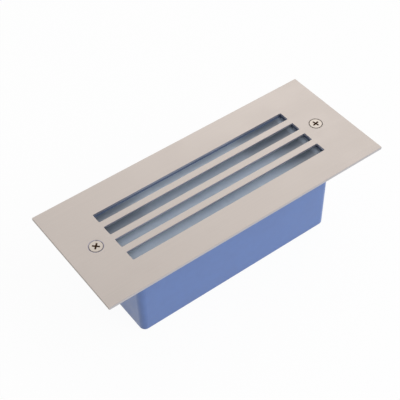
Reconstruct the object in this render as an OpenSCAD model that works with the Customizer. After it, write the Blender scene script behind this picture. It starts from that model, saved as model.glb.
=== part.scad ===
// Recessed in-ground light: a slotted steel face plate over a plastic recess box,
// with a sealed lamp unit that hangs in the box. Millimetres, +Z up, and the origin
// in the middle of the underside of the box.

/* [Face plate] */
// Length of the plate
plate_l = 240; // [228:1:300]
// Width of the plate
plate_w = 98; // [86:1:120]
// Thickness of the plate
plate_t = 2; // [1.5:0.1:3]
// Radius of the corners of the plate
plate_corner_r = 0.6; // [0.3:0.1:3]
// Number of light slots
slot_count = 4; // [1:1:4]
// Width of a light slot
slot_w = 8.5; // [5:0.5:9]
// Distance from slot to slot
slot_pitch = 14; // [11:0.5:14.5]
// Plate left at each end of the slots
slot_end_margin = 35; // [34:0.5:45]
// Radius in the corners of a slot
slot_corner_r = 0.5; // [0.3:0.1:2]

/* [Cover screws] */
// Thread diameter of a cover screw
cover_screw_d = 5; // [4:0.5:6]
// Length of a cover screw with its head
cover_screw_l = 16; // [13:0.5:18]
// Diameter of the countersunk head
cover_head_d = 10; // [9:0.1:11]
// Width of the ring of the cup washer that shows round the head
cup_rim_w = 0.6; // [0.4:0.05:0.9]

/* [Recess box] */
// Height of the box from its underside to the top of its flange
box_h = 73.5; // [72:0.5:100]
// Thickness of the walls and the floor
box_wall = 3; // [2:0.1:3.5]
// Radius of the upright corners at the underside
box_corner_r = 4.6; // [4:0.1:8]
// How much each side leans out over the whole height
box_draft = 0.9; // [0.3:0.1:1.2]
// Radius of the edge round the underside
box_foot_r = 2; // [0.5:0.1:2.5]
// Thickness of the flange
flange_t = 3; // [2:0.1:4]
// How far the flange stands out beside the collar
flange_lip = 5.5; // [4:0.1:7]
// Wall of the collar that holds the rim of the lamp unit
collar_wall = 2; // [1.5:0.1:2.5]
// Diameter of a boss that takes a cover screw
boss_d = 13; // [11:0.1:14]
// Distance between the two fixing holes in the floor
fixing_spacing = 120; // [80:1:130]
// Diameter of a fixing hole
fixing_d = 5.5; // [4:0.1:7]
// Height of the cable entries above the underside
entry_z = 18; // [16:0.5:19]
// Diameter of the hole that a cable entry is cut to
entry_d = 20; // [16:0.5:22]
// Diameter of the supply cable's hole in the grommet
cable_d = 8; // [6:0.5:10]

/* [Lamp unit] */
// Width of the window in the frame that holds the lens
window_w = 52; // [46:0.5:72]
// Thickness of the glass lens
lens_t = 5; // [4:0.1:6]
// How far the lens lies under the frame that holds it
lens_lap = 2; // [1.5:0.1:2.4]
// Thickness of the lens frame
frame_t = 1.5; // [1.2:0.1:2]
// Depth of the housing under its rim
tub_h = 31; // [30:0.5:33]
// Wall of the housing
tub_wall = 2.5; // [2:0.1:3]
// Space between the housing and the walls of the box
tub_gap = 1.5; // [1:0.1:2]
// Number of LEDs in a row
led_count = 12; // [6:1:14]

/* [Hidden] */
$fn = 64;

// Play between pieces that turn or slide in one another
fit_gap = 0.05;
// How far a cut runs past the face that it opens
cut_over = 0.5;
hex_sides = 6;

// Slots and the window under them
slot_l = plate_l - 2 * slot_end_margin;
window_margin = 0.5;
window_l = slot_l + 2 * window_margin;
window_corner_r = 2;

// Lens, its gasket, and the rim of the lamp housing round them
lens_l = window_l + 2 * lens_lap;
lens_w = window_w + 2 * lens_lap;
lens_corner_r = 3;
lens_gasket_wall = 1;
lens_gasket_t = 1;
lens_pocket_l = lens_l + 2 * lens_gasket_wall;
lens_pocket_w = lens_w + 2 * lens_gasket_wall;
lens_pocket_r = lens_corner_r + lens_gasket_wall;
rim_end_w = 2;
rim_side_w = 5;
rim_l = lens_pocket_l + 2 * rim_end_w;
rim_w = lens_pocket_w + 2 * rim_side_w;
rim_corner_r = 5;
rim_floor_t = 2;

// Collar and flange of the box
collar_gap = 0.5;
collar_floor_t = 2;
collar_in_l = rim_l + 2 * collar_gap;
collar_in_w = rim_w + 2 * collar_gap;
collar_in_r = rim_corner_r + collar_gap;
collar_l = collar_in_l + 2 * collar_wall;
collar_w = collar_in_w + 2 * collar_wall;
collar_r = collar_in_r + collar_wall;

// Cover screws, their cup washers, inserts and bosses
insert_d = 7;
insert_h = 10;
insert_wall = 4;
screw_x = collar_in_l / 2 + insert_wall + insert_d / 2;
screw_bore_d = cover_screw_d + 2 * fit_gap;
screw_pilot_gap = 0.2;
screw_pilot_d = cover_screw_d + 2 * screw_pilot_gap;
screw_tip_room = 1.4;
boss_floor_t = 3;
cup_edge_t = 0.1;
driver_cross_w = 5.4;
driver_cross_arm = 1.1;
driver_cross_depth = 2.3;
flange_edge_w = 5;
flange_l = 2 * (screw_x + boss_d / 2 + flange_edge_w);
flange_w = collar_w + 2 * flange_lip;
flange_r = 8;

// Heights, from the top down
gasket_t = 1;
plate_z = box_h + gasket_t;
plate_top = plate_z + plate_t;
lens_top = box_h - frame_t;
lens_z = lens_top - lens_t;
lens_seat_z = lens_z - lens_gasket_t;
rim_z = lens_seat_z - rim_floor_t;
collar_z = rim_z - collar_floor_t;
flange_z = box_h - flange_t;
tub_z = rim_z - tub_h;
tub_floor_t = 3;
tub_floor_z = tub_z + tub_floor_t;
screw_tip_z = plate_top - cover_screw_l;
boss_hole_z = screw_tip_z - screw_tip_room;
boss_z = boss_hole_z - boss_floor_t;

// Lower body of the box, measured at its underside, and its cavity
collar_step_end = 5.8;
collar_step_side = 4.8;
box_l = collar_l - 2 * collar_step_end - 2 * box_draft;
box_w = collar_w - 2 * collar_step_side - 2 * box_draft;
cavity_l = box_l - 2 * box_wall;
cavity_w = box_w - 2 * box_wall;
cavity_r = box_corner_r - box_wall;
cavity_foot_share = 0.6;
cavity_foot_r = cavity_foot_share * cavity_r;

// Cable entries
entry_flange_w = 2.5;
entry_flange_t = 1.5;
entry_face_gap = 0.5;
grommet_lip_d = entry_d + 2 * entry_flange_w;
plug_dish_depth = 1.2;
plug_dish_rim = 3;

// Housing of the lamp unit
tub_l = cavity_l - 2 * tub_gap;
tub_w = cavity_w - 2 * tub_gap;
tub_r = 5;
tub_in_l = tub_l - 2 * tub_wall;
tub_in_w = tub_w - 2 * tub_wall;
tub_in_r = tub_r - tub_wall;
pillar_d = 7;
pillar_inset = 3.3;
pillar_end_room = 19.3;
pillar_x = tub_in_l / 2 - pillar_end_room;
pillar_y = tub_in_w / 2 - pillar_inset;
pillar_h = 18;

// Small fasteners: thread and head
m25_d = 2.5;
m25_head_d = 4.7;
m25_l = 6;
m3_d = 3;
m3_head_d = 5.5;
m3_head_h = 1.6;
m3_l = 8;
m3_short_l = 6;
floor_thread = 2;
small_cross_w = 2.6;
small_cross_arm = 0.6;
small_cross_depth = 1;

// Lens frame screws
frame_screw_y = lens_pocket_w / 2 + rim_side_w / 2;
frame_screws_a_side = 4;
frame_screw_end_room = 19.5;
frame_screw_pitch = (window_l - 2 * frame_screw_end_room) / (frame_screws_a_side - 1);

// Tray, thermal pad and LED board
tray_z = tub_floor_z + pillar_h;
tray_gap = 0.8;
tray_l = tub_in_l - 2 * tray_gap;
tray_w = tub_in_w - 2 * tray_gap;
tray_t = 2;
tray_notch_l = 5;
tray_notch_w = 12;
pad_t = 0.5;
pad_margin = 1;
pad_z = tray_z + tray_t;
board_end_gap = 7.3;
board_l = tub_in_l - 2 * board_end_gap;
board_side_gap = 2.75;
board_w = 2 * (pillar_y - m3_head_d / 2 - board_side_gap);
board_t = 1.6;
board_z = pad_z + pad_t;
board_top = board_z + board_t;
led_size = 5;
led_t = 1.5;
led_lens_d = 4.2;
led_lens_depth = 0.2;
led_row_y = board_w / 4;
led_end_room = 10.3;
connector_l = 4;
connector_w = 9;
connector_h = 4;

// Reflector dish on the board
dish_clear = 0.5;
dish_l = board_l - 2 * (connector_l + dish_clear);
dish_side_gap = 1.6;
dish_w = tub_in_w - 2 * dish_side_gap;
dish_r = 4;
dish_wall = 1.2;
dish_floor_t = 1;
dish_top_gap = 0.8;
dish_h = lens_seat_z - board_top - dish_top_gap;
led_window_gap = 0.4;
led_pitch = (dish_l - 2 * led_end_room) / (led_count - 1);
board_screw_inset = 5.5;
board_screw_x = dish_l / 2 - board_screw_inset;

// What stands on the floor of the housing, from its right end: gland, terminal block, driver
gland_end_room = 15.8;
gland_x = tub_in_l / 2 - gland_end_room;
block_room = 19.5;
block_x = gland_x - block_room;
driver_room = 16;
driver_right = block_x - driver_room;
driver_end_room = 4.3;
driver_ear_l = 7;
driver_left = driver_end_room + driver_ear_l - tub_in_l / 2;

// Driver
driver_l = driver_right - driver_left;
driver_x = (driver_left + driver_right) / 2;
driver_side_gap = 2;
driver_w = 2 * (pillar_y - pillar_d / 2 - driver_side_gap);
driver_h = 16;
driver_r = 2;
driver_ear_w = 12;
driver_ear_t = 2;
driver_lead_up = 9;
driver_lead_z = tub_floor_z + driver_lead_up;
driver_lead_y = 3;

// Terminal block
pole_count = 3;
pole_pitch = 8;
block_l = 13;
block_w = pole_count * pole_pitch;
block_h = 13;
block_top = tub_floor_z + block_h;
block_cheek = 2;
block_well_d = 4;
block_well_x = 3;
sleeve_d = 5;
sleeve_bore_d = 3;
sleeve_up = 5.5;
sleeve_z = tub_floor_z + sleeve_up;
block_screw_seat = 5;
block_screw_y = pole_pitch / 2;
clamp_screw_d = 2.6;
clamp_screw_l = 5;
clamp_head_h = 2.6;
clamp_slot_w = 0.6;
clamp_slot_depth = 0.8;

// Leads
lead_d = 1.6;
lead_sides = 8;
lead_steps = 14;
lead_bulge = 10;
lead_bend = 4;

// Earth point, between the terminal block and the wall
earth_side = 1;
earth_x = block_x + earth_side;
earth_y = (block_w + tub_in_w) / 4;
earth_tag_d = 6.4;
earth_tag_t = 0.8;
earth_barrel_l = 5;
earth_barrel_d = 2.6;

// Cable gland in the floor of the housing
gland_thread_d = 16;
gland_flats = 19;
gland_hex_h = 5;
gland_washer_t = 1;
gland_washer_w = 1.4;
gland_bore_d = 9;
gland_neck_d = 14.5;
gland_neck_h = 8;
gland_seal_d = 11.5;
gland_seal_h = 7;
gland_cable_d = 7;
gland_nut_gap = 0.6;
gland_nut_h = 11;
gland_nut_wall = 1.6;
gland_dome_h = 3;
gland_locknut_h = 4;
gland_stem_over = 1;
gland_washer_z = tub_z - gland_washer_t;
gland_hex_z = gland_washer_z - gland_hex_h;
gland_nut_z = gland_hex_z - gland_nut_gap - gland_nut_h;

steel = [0.80, 0.77, 0.74];
bright = [0.86, 0.86, 0.86];
blue = [0.42, 0.52, 0.74];
black = [0.10, 0.10, 0.11];
slate = [0.28, 0.32, 0.38];
cast_grey = [0.62, 0.63, 0.65];
glass_tint = [0.60, 0.66, 0.72];
white = [0.93, 0.93, 0.92];
brass = [0.80, 0.63, 0.30];
phosphor = [0.95, 0.82, 0.35];

// A rectangle with round corners, about the origin
module rounded_rect(l, w, r) {
    square([l - 2 * r, w], center = true);
    square([l, w - 2 * r], center = true);
    for (sx = [-1, 1])
        for (sy = [-1, 1])
            translate([sx * (l / 2 - r), sy * (w / 2 - r)])
                circle(r);
}

module rounded_slab(l, w, r, h) {
    linear_extrude(h)
        rounded_rect(l, w, r);
}

module rounded_ring(l, w, r, in_l, in_w, in_r, h) {
    linear_extrude(h)
        difference() {
            rounded_rect(l, w, r);
            rounded_rect(in_l, in_w, in_r);
        }
}

// Section through a leaning wall from its corner centre out: a round foot, then a straight lean
foot_steps = 4;
function leaning_section(r, foot_r, lean, h) = concat(
    [[0, 0], [r - foot_r, 0]],
    [for (i = [1 : foot_steps])
        let (a = 90 * i / foot_steps)
        [r - foot_r + foot_r * sin(a), foot_r - foot_r * cos(a)]],
    [[r + lean, h], [0, h]]
);

// A block with round corners whose sides lean out, so that it leaves its mould
module leaning_block(l, w, r, foot_r, lean, h) {
    section = leaning_section(r, foot_r, lean, h);
    flat_l = l - 2 * r;
    flat_w = w - 2 * r;
    linear_extrude(h)
        square([flat_l, flat_w], center = true);
    for (turn = [0, 180])
        rotate([0, 0, turn]) {
            translate([0, flat_w / 2, 0])
                rotate([90, 0, 90])
                    linear_extrude(flat_l, center = true)
                        polygon(section);
            translate([flat_l / 2, 0, 0])
                rotate([90, 0, 0])
                    linear_extrude(flat_w, center = true)
                        polygon(section);
            translate([flat_l / 2, flat_w / 2, 0])
                rotate_extrude(angle = 90)
                    polygon(section);
            translate([flat_l / 2, -flat_w / 2, 0])
                rotate([0, 0, -90])
                    rotate_extrude(angle = 90)
                        polygon(section);
        }
}

// Cross recess, cut down from z = 0
module cross_recess(across, arm, depth) {
    intersection() {
        union() {
            translate([-across / 2, -arm / 2, -depth])
                cube([across, arm, depth + cut_over]);
            translate([-arm / 2, -across / 2, -depth])
                cube([arm, across, depth + cut_over]);
        }
        translate([0, 0, -depth])
            cylinder(h = depth + cut_over, r1 = arm / 2, r2 = across / 2 + cut_over);
    }
}

// Countersunk screw with the top of its head at z = 0
module countersunk_screw(d, l, head_d, across, arm, depth) {
    head_h = (head_d - d) / 2;
    difference() {
        union() {
            translate([0, 0, -head_h])
                cylinder(h = head_h, d1 = d, d2 = head_d);
            translate([0, 0, -l])
                cylinder(h = l - head_h, d = d);
        }
        cross_recess(across, arm, depth);
    }
}

// Pan head screw with the underside of its head at z = 0
module pan_screw(d, l, head_d, head_h) {
    difference() {
        union() {
            cylinder(h = head_h, d1 = head_d, d2 = head_d - head_h);
            translate([0, 0, -l])
                cylinder(h = l, d = d);
        }
        translate([0, 0, head_h])
            cross_recess(small_cross_w, small_cross_arm, small_cross_depth);
    }
}

// Copies to both ends of the light
module at_both_ends(x) {
    for (side = [-1, 1])
        translate([side * x, 0, 0])
            children();
}

// Points of a curve that leaves p0 towards p1 and reaches p3 from p2
function curve(p0, p1, p2, p3, steps) = [
    for (i = [0 : steps])
        let (t = i / steps, u = 1 - t)
        u * u * u * p0 + 3 * u * u * t * p1 + 3 * u * t * t * p2 + t * t * t * p3
];
function unit(v) = v / norm(v);
function heading(path, i) = unit(
    path[min(i + 1, len(path) - 1)] - path[max(i - 1, 0)]
);

// Tube along a path that never runs along the side direction
module tube(path, d, side, start, end) {
    last = len(path) - 1;
    rings = [
        for (i = [0 : last])
            let (
                t = i == 0 ? start : i == last ? end : heading(path, i),
                a = unit(cross(side, t)),
                b = cross(t, a)
            )
            for (k = [0 : lead_sides - 1])
                let (turn = 360 * k / lead_sides)
                path[i] + d / 2 * (cos(turn) * a + sin(turn) * b)
    ];
    walls = [
        for (i = [0 : last - 1])
            for (k = [0 : lead_sides - 1])
                let (
                    next = (k + 1) % lead_sides,
                    low = i * lead_sides,
                    high = low + lead_sides
                )
                [low + k, high + k, high + next, low + next]
    ];
    caps = [
        [for (k = [0 : lead_sides - 1]) k],
        [for (k = [lead_sides - 1 : -1 : 0]) last * lead_sides + k]
    ];
    polyhedron(points = rings, faces = concat(walls, caps), convexity = 4);
}

// Recess box

module box_outside() {
    leaning_block(box_l, box_w, box_corner_r, box_foot_r, box_draft, box_h);
    translate([0, 0, collar_z])
        rounded_slab(collar_l, collar_w, collar_r, box_h - collar_z);
    translate([0, 0, flange_z])
        rounded_slab(flange_l, flange_w, flange_r, flange_t);
    at_both_ends(screw_x)
        translate([0, 0, boss_z])
            cylinder(h = box_h - boss_z, d = boss_d);
}

module box_inside() {
    translate([0, 0, box_wall])
        leaning_block(
            cavity_l, cavity_w, cavity_r, cavity_foot_r, box_draft, box_h - box_wall
        );
    translate([0, 0, rim_z])
        rounded_slab(collar_in_l, collar_in_w, collar_in_r, box_h - rim_z + cut_over);
}

module screw_holes() {
    at_both_ends(screw_x) {
        translate([0, 0, box_h - insert_h])
            cylinder(h = insert_h + cut_over, d = insert_d);
        translate([0, 0, boss_hole_z])
            cylinder(h = box_h - boss_hole_z, d = screw_pilot_d);
    }
}

// Hole and flat face of one cable entry, along +Z from the middle of the wall's foot
module entry_cut(reach) {
    cylinder(h = reach + box_wall + cut_over, d = entry_d);
    translate([0, 0, reach])
        cylinder(h = box_wall, d = grommet_lip_d + 2 * entry_face_gap);
}

module entry_cuts() {
    translate([0, 0, entry_z]) {
        rotate([0, 90, 0])
            entry_cut(box_l / 2);
        rotate([-90, 0, 0])
            entry_cut(box_w / 2);
    }
}

module recess_box() {
    color(blue)
        difference() {
            box_outside();
            box_inside();
            screw_holes();
            entry_cuts();
            at_both_ends(fixing_spacing / 2)
                translate([0, 0, -cut_over])
                    cylinder(h = box_wall + 2 * cut_over, d = fixing_d);
        }
}

module threaded_inserts() {
    color(brass)
        at_both_ends(screw_x)
            translate([0, 0, box_h - insert_h])
                difference() {
                    cylinder(h = insert_h, d = insert_d);
                    translate([0, 0, -cut_over])
                        cylinder(h = insert_h + 2 * cut_over, d = screw_bore_d);
                }
}

// Section of a rubber piece that snaps into a wall: two lips and the groove between them
function snap_section(in_r) = [
    [in_r, -box_wall - entry_flange_t],
    [grommet_lip_d / 2, -box_wall - entry_flange_t],
    [grommet_lip_d / 2, -box_wall],
    [entry_d / 2, -box_wall],
    [entry_d / 2, 0],
    [grommet_lip_d / 2, 0],
    [grommet_lip_d / 2, entry_flange_t],
    [in_r, entry_flange_t]
];

module cable_grommet() {
    color(black)
        translate([box_l / 2, 0, entry_z])
            rotate([0, 90, 0])
                rotate_extrude()
                    polygon(snap_section(cable_d / 2));
}

module blanking_plug() {
    color(black)
        translate([0, box_w / 2, entry_z])
            rotate([-90, 0, 0])
                difference() {
                    rotate_extrude()
                        polygon(snap_section(0));
                    translate([0, 0, entry_flange_t - plug_dish_depth])
                        cylinder(h = plug_dish_depth + cut_over, d = entry_d - 2 * plug_dish_rim);
                }
}

// Lamp unit: housing, lens and frame

module pillars() {
    for (sx = [-1, 1])
        for (sy = [-1, 1])
            translate([sx * pillar_x, sy * pillar_y, tub_floor_z])
                children();
}

module lamp_housing() {
    color(cast_grey)
        difference() {
            union() {
                difference() {
                    union() {
                        translate([0, 0, rim_z])
                            rounded_slab(rim_l, rim_w, rim_corner_r, lens_top - rim_z);
                        translate([0, 0, tub_z])
                            rounded_slab(tub_l, tub_w, tub_r, tub_h);
                    }
                    translate([0, 0, lens_seat_z])
                        rounded_slab(
                            lens_pocket_l, lens_pocket_w, lens_pocket_r,
                            lens_top - lens_seat_z + cut_over
                        );
                    translate([0, 0, tub_floor_z])
                        rounded_slab(tub_in_l, tub_in_w, tub_in_r, lens_top - tub_floor_z);
                }
                pillars()
                    cylinder(h = pillar_h, d = pillar_d);
            }
            pillars()
                translate([0, 0, pillar_h + tray_t - m3_l])
                    cylinder(h = m3_l, d = m3_d);
            driver_ear_places()
                translate([0, 0, -floor_thread])
                    cylinder(h = floor_thread + cut_over, d = m3_d);
            translate([block_x, block_screw_y, tub_floor_z - floor_thread])
                cylinder(h = floor_thread + cut_over, d = m25_d);
            translate([earth_x, earth_y, tub_floor_z - floor_thread])
                cylinder(h = floor_thread + cut_over, d = m3_d);
            frame_screw_places()
                translate([0, 0, lens_top - m25_l])
                    cylinder(h = m25_l + cut_over, d = m25_d);
            translate([gland_x, 0, tub_z - cut_over])
                cylinder(h = tub_floor_t + 2 * cut_over, d = gland_thread_d + 2 * fit_gap);
        }
}

module lens_gasket() {
    color(black) {
        translate([0, 0, lens_seat_z])
            rounded_ring(
                lens_pocket_l, lens_pocket_w, lens_pocket_r,
                tub_in_l, tub_in_w, tub_in_r, lens_gasket_t
            );
        translate([0, 0, lens_z])
            rounded_ring(
                lens_pocket_l, lens_pocket_w, lens_pocket_r,
                lens_l, lens_w, lens_corner_r, lens_t
            );
    }
}

module glass_lens() {
    color(glass_tint)
        translate([0, 0, lens_z])
            rounded_slab(lens_l, lens_w, lens_corner_r, lens_t);
}

module frame_screw_places() {
    for (i = [0 : frame_screws_a_side - 1])
        for (sy = [-1, 1])
            translate([
                (i - (frame_screws_a_side - 1) / 2) * frame_screw_pitch,
                sy * frame_screw_y,
                0
            ])
                children();
}

module lens_frame() {
    color(slate)
        difference() {
            translate([0, 0, lens_top])
                rounded_ring(
                    rim_l, rim_w, rim_corner_r, window_l, window_w, window_corner_r, frame_t
                );
            frame_screw_places() {
                translate([0, 0, lens_top - cut_over])
                    cylinder(h = frame_t + 2 * cut_over, d = m25_d + 2 * fit_gap);
                translate([0, 0, box_h - (m25_head_d - m25_d) / 2])
                    cylinder(
                        h = (m25_head_d - m25_d) / 2,
                        d1 = m25_d + 2 * fit_gap, d2 = m25_head_d + 2 * fit_gap
                    );
            }
        }
}

module frame_screws() {
    color(bright)
        frame_screw_places()
            translate([0, 0, box_h])
                countersunk_screw(
                    m25_d, m25_l, m25_head_d, small_cross_w, small_cross_arm, small_cross_depth
                );
}

// Lamp unit: tray, LED board and reflector

module gear_tray() {
    color(cast_grey)
        difference() {
            translate([0, 0, tray_z])
                rounded_slab(tray_l, tray_w, tub_in_r, tray_t);
            pillars()
                translate([0, 0, pillar_h - cut_over])
                    cylinder(h = tray_t + 2 * cut_over, d = m3_d + 2 * fit_gap);
            board_screw_places()
                translate([0, 0, tray_z - cut_over])
                    cylinder(h = tray_t + 2 * cut_over, d = m3_d);
            translate([-tray_l / 2 - cut_over, -tray_notch_w / 2, tray_z - cut_over])
                cube([tray_notch_l + cut_over, tray_notch_w, tray_t + 2 * cut_over]);
        }
}

module tray_screws() {
    color(bright)
        pillars()
            translate([0, 0, pillar_h + tray_t])
                pan_screw(m3_d, m3_l, m3_head_d, m3_head_h);
}

module board_screw_places() {
    for (side = [-1, 0, 1])
        translate([side * board_screw_x, 0, 0])
            children();
}

module board_screw_holes(z, t) {
    board_screw_places()
        translate([0, 0, z - cut_over])
            cylinder(h = t + 2 * cut_over, d = m3_d + 2 * fit_gap);
}

module thermal_pad() {
    color(slate)
        difference() {
            translate([0, 0, pad_z])
                rounded_slab(
                    board_l - 2 * pad_margin, board_w - 2 * pad_margin, pad_margin, pad_t
                );
            board_screw_holes(pad_z, pad_t);
        }
}

module led_board() {
    color(white)
        difference() {
            translate([0, 0, board_z])
                rounded_slab(board_l, board_w, pad_margin, board_t);
            board_screw_holes(board_z, board_t);
        }
}

module led_places() {
    for (i = [0 : led_count - 1])
        for (sy = [-1, 1])
            translate([(i - (led_count - 1) / 2) * led_pitch, sy * led_row_y, board_top])
                children();
}

module led_chips() {
    color(phosphor)
        led_places()
            difference() {
                translate([-led_size / 2, -led_size / 2, 0])
                    cube([led_size, led_size, led_t]);
                translate([0, 0, led_t - led_lens_depth])
                    cylinder(h = led_lens_depth + cut_over, d = led_lens_d);
            }
}

module board_connector() {
    color(white)
        translate([-board_l / 2, -connector_w / 2, board_top])
            cube([connector_l, connector_w, connector_h]);
}

module reflector() {
    window_size = led_size + 2 * led_window_gap;
    color(white)
        difference() {
            translate([0, 0, board_top])
                rounded_slab(dish_l, dish_w, dish_r, dish_h);
            translate([0, 0, board_top + dish_floor_t])
                rounded_slab(
                    dish_l - 2 * dish_wall, dish_w - 2 * dish_wall, dish_r - dish_wall, dish_h
                );
            led_places()
                translate([-window_size / 2, -window_size / 2, -cut_over])
                    cube([window_size, window_size, dish_floor_t + 2 * cut_over]);
            board_screw_holes(board_top, dish_floor_t);
        }
}

module board_screws() {
    color(bright)
        board_screw_places()
            translate([0, 0, board_top + dish_floor_t])
                pan_screw(m3_d, m3_short_l, m3_head_d, m3_head_h);
}

// Lamp unit: driver, terminals and leads

module driver_ear_places() {
    for (side = [-1, 1])
        translate([driver_x + side * (driver_l + driver_ear_l) / 2, 0, tub_floor_z])
            children();
}

module led_driver() {
    color(white)
        difference() {
            union() {
                translate([driver_x, 0, tub_floor_z])
                    rounded_slab(driver_l, driver_w, driver_r, driver_h);
                translate([
                    driver_x - driver_l / 2 - driver_ear_l, -driver_ear_w / 2, tub_floor_z
                ])
                    cube([driver_l + 2 * driver_ear_l, driver_ear_w, driver_ear_t]);
            }
            driver_ear_places()
                translate([0, 0, -cut_over])
                    cylinder(h = driver_ear_t + 2 * cut_over, d = m3_d + 2 * fit_gap);
        }
}

module driver_screws() {
    color(bright)
        driver_ear_places()
            translate([0, 0, driver_ear_t])
                pan_screw(m3_d, driver_ear_t + floor_thread, m3_head_d, m3_head_h);
}

module pole_places() {
    for (i = [0 : pole_count - 1])
        translate([block_x, (i - (pole_count - 1) / 2) * pole_pitch, sleeve_z])
            children();
}

module clamp_places() {
    pole_places()
        for (side = [-1, 1])
            translate([side * block_well_x, 0, 0])
                children();
}

module terminal_block() {
    color(white)
        difference() {
            translate([block_x - block_l / 2, -block_w / 2, tub_floor_z])
                cube([block_l, block_w, block_h]);
            pole_places()
                rotate([0, 90, 0])
                    cylinder(h = block_l + 2 * cut_over, d = sleeve_d, center = true);
            clamp_places()
                cylinder(h = block_top - sleeve_z + cut_over, d = block_well_d);
            translate([block_x, block_screw_y, tub_floor_z - cut_over])
                cylinder(h = block_h, d = m25_d + 2 * fit_gap);
            translate([block_x, block_screw_y, block_top - block_screw_seat])
                cylinder(h = block_screw_seat + cut_over, d = m25_head_d + 2 * fit_gap);
        }
}

module terminal_sleeves() {
    color(brass)
        pole_places()
            difference() {
                rotate([0, 90, 0])
                    cylinder(h = block_l - 2 * block_cheek, d = sleeve_d, center = true);
                rotate([0, 90, 0])
                    cylinder(h = block_l, d = sleeve_bore_d, center = true);
                for (side = [-1, 1])
                    translate([side * block_well_x, 0, 0])
                        cylinder(h = sleeve_d, d = clamp_screw_d);
            }
}

module terminal_screws() {
    color(brass)
        clamp_places()
            translate([0, 0, sleeve_bore_d / 2])
                difference() {
                    union() {
                        cylinder(h = clamp_screw_l, d = clamp_screw_d);
                        translate([0, 0, clamp_screw_l - clamp_head_h])
                            cylinder(h = clamp_head_h, d = block_well_d - 2 * fit_gap);
                    }
                    translate([
                        -block_well_d / 2, -clamp_slot_w / 2, clamp_screw_l - clamp_slot_depth
                    ])
                        cube([block_well_d, clamp_slot_w, clamp_slot_depth + cut_over]);
                }
}

module block_screw() {
    color(bright)
        translate([block_x, block_screw_y, block_top - block_screw_seat])
            pan_screw(
                m25_d, block_h - block_screw_seat + floor_thread, m25_head_d, m3_head_h
            );
}

// Two leads from the driver's right end to the first two poles
module live_and_neutral_leads() {
    start_x = driver_x + driver_l / 2;
    end_x = block_x - block_l / 2;
    color("sienna")
        for (i = [0, 1]) {
            start = [start_x, (2 * i - 1) * driver_lead_y, driver_lead_z];
            end = [end_x, (i - 1) * pole_pitch, sleeve_z];
            tube(
                curve(start, start + [lead_bend, 0, 0], end - [lead_bend, 0, 0], end, lead_steps),
                lead_d, [0, 0, 1], [1, 0, 0], [1, 0, 0]
            );
        }
}

// Two leads from the driver's left end up through the notch of the tray to the connector
module led_leads() {
    color("firebrick")
        for (side = [-1, 1]) {
            start = [driver_x - driver_l / 2, side * driver_lead_y, driver_lead_z];
            end = [-board_l / 2, side * connector_w / 4, board_top + connector_h / 2];
            tube(
                curve(start, start - [lead_bulge, 0, 0], end - [lead_bulge / 2, 0, 0], end,
                      lead_steps),
                lead_d, [0, 1, 0], [-1, 0, 0], [1, 0, 0]
            );
        }
}

module earth_lead() {
    start = [block_x - block_l / 2, (pole_count - 1) / 2 * pole_pitch, sleeve_z];
    end = [
        earth_x - earth_tag_d / 2 - earth_barrel_l, earth_y, tub_floor_z + earth_barrel_d / 2
    ];
    color("green")
        tube(
            curve(start, start - [lead_bend, 0, 0], end - [lead_bend, 0, 0], end, lead_steps),
            lead_d, [0, 0, 1], [-1, 0, 0], [1, 0, 0]
        );
}

module earth_tag() {
    color(bright)
        translate([earth_x, earth_y, tub_floor_z])
            difference() {
                union() {
                    cylinder(h = earth_tag_t, d = earth_tag_d);
                    translate([-earth_tag_d / 2 - earth_barrel_l, -earth_barrel_d / 2, 0])
                        cube([earth_tag_d / 2 + earth_barrel_l, earth_barrel_d, earth_tag_t]);
                    translate([-earth_tag_d / 2 - earth_barrel_l, 0, earth_barrel_d / 2])
                        rotate([0, 90, 0])
                            cylinder(h = earth_barrel_l, d = earth_barrel_d);
                }
                translate([0, 0, -cut_over])
                    cylinder(h = earth_tag_t + 2 * cut_over, d = m3_d + 2 * fit_gap);
            }
}

module earth_screw() {
    color(bright)
        translate([earth_x, earth_y, tub_floor_z + earth_tag_t])
            pan_screw(m3_d, earth_tag_t + floor_thread, m3_head_d, m3_head_h);
}

// Cable gland

module gland_hex(h) {
    cylinder(h = h, d = gland_flats / cos(180 / hex_sides), $fn = hex_sides);
}

module gland_body() {
    color(black)
        translate([gland_x, 0, 0])
            difference() {
                union() {
                    translate([0, 0, gland_hex_z])
                        gland_hex(gland_hex_h);
                    translate([0, 0, gland_hex_z + gland_hex_h])
                        cylinder(
                            h = gland_washer_t + tub_floor_t + gland_locknut_h + gland_stem_over,
                            d = gland_thread_d
                        );
                    translate([0, 0, gland_hex_z - gland_neck_h])
                        cylinder(h = gland_neck_h, d = gland_neck_d);
                }
                translate([0, 0, gland_hex_z - gland_neck_h - cut_over])
                    cylinder(h = gland_neck_h + tub_floor_z, d = gland_bore_d);
                translate([0, 0, gland_hex_z - gland_neck_h - cut_over])
                    cylinder(h = gland_seal_h + cut_over, d = gland_seal_d);
            }
}

module gland_washer() {
    color(black)
        translate([gland_x, 0, gland_washer_z])
            difference() {
                cylinder(h = gland_washer_t, d = gland_thread_d + 2 * gland_washer_w);
                translate([0, 0, -cut_over])
                    cylinder(h = gland_washer_t + 2 * cut_over, d = gland_thread_d);
            }
}

module gland_seal() {
    color(slate)
        translate([gland_x, 0, gland_hex_z - gland_neck_h])
            difference() {
                cylinder(h = gland_seal_h, d = gland_seal_d);
                translate([0, 0, -cut_over])
                    cylinder(h = gland_seal_h + 2 * cut_over, d = gland_cable_d);
            }
}

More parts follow.
